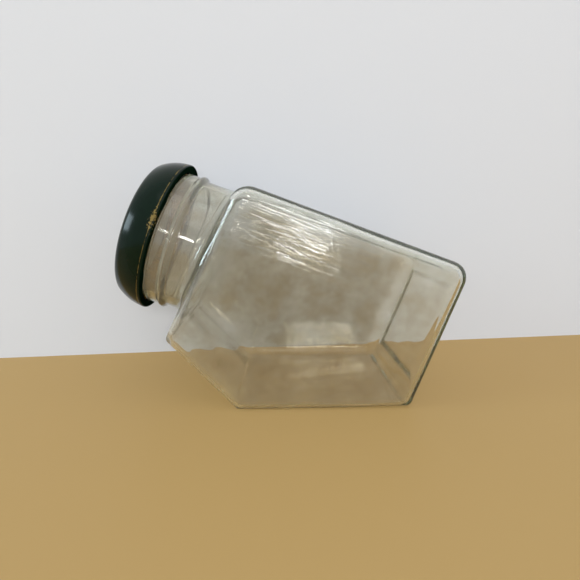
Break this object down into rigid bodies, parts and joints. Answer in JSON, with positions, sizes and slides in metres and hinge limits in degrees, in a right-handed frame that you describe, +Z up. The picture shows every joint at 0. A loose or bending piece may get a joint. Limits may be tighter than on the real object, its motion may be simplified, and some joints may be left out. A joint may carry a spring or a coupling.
{
  "type": "lidded glass canister",
  "caption": "Square glass canister with a slanted foot facet it can lie on, a round neck, and a stamped metal lug lid that turns and lifts off.",
  "frame": {"origin": "centre of the slanted foot facet that the canister lies on", "axes": "+Z up with the foot facet down; the mouth points towards -X and up; +X towards the base; the two flat panes face -Y and +Y"},
  "size_m": [0.2168, 0.102, 0.1521],
  "materials": {
    "clear_glass": "clear moulded soda-lime glass",
    "enamelled_tin": "dark green gloss enamel on tinplate",
    "liner_foam": "off-white foamed sealing disc"
  },
  "bodies": {
    "jar": {"glass_jar": "clear_glass"},
    "liner": {"lid_liner": "liner_foam"},
    "lid": {"lid_shell": "enamelled_tin"}
  },
  "joints": [
    {"name": "lid_lift", "type": "slide", "parent": "jar", "child": "liner", "axis": [-0.9392, 0, 0.3434], "range_m": [0, 0.055]},
    {"name": "lid_turn", "type": "hinge", "parent": "liner", "child": "lid", "pos_m": [-0.10108, 0, 0.10286], "axis": [0.9392, 0, -0.3434], "range_deg": [0, 30]}
  ]
}
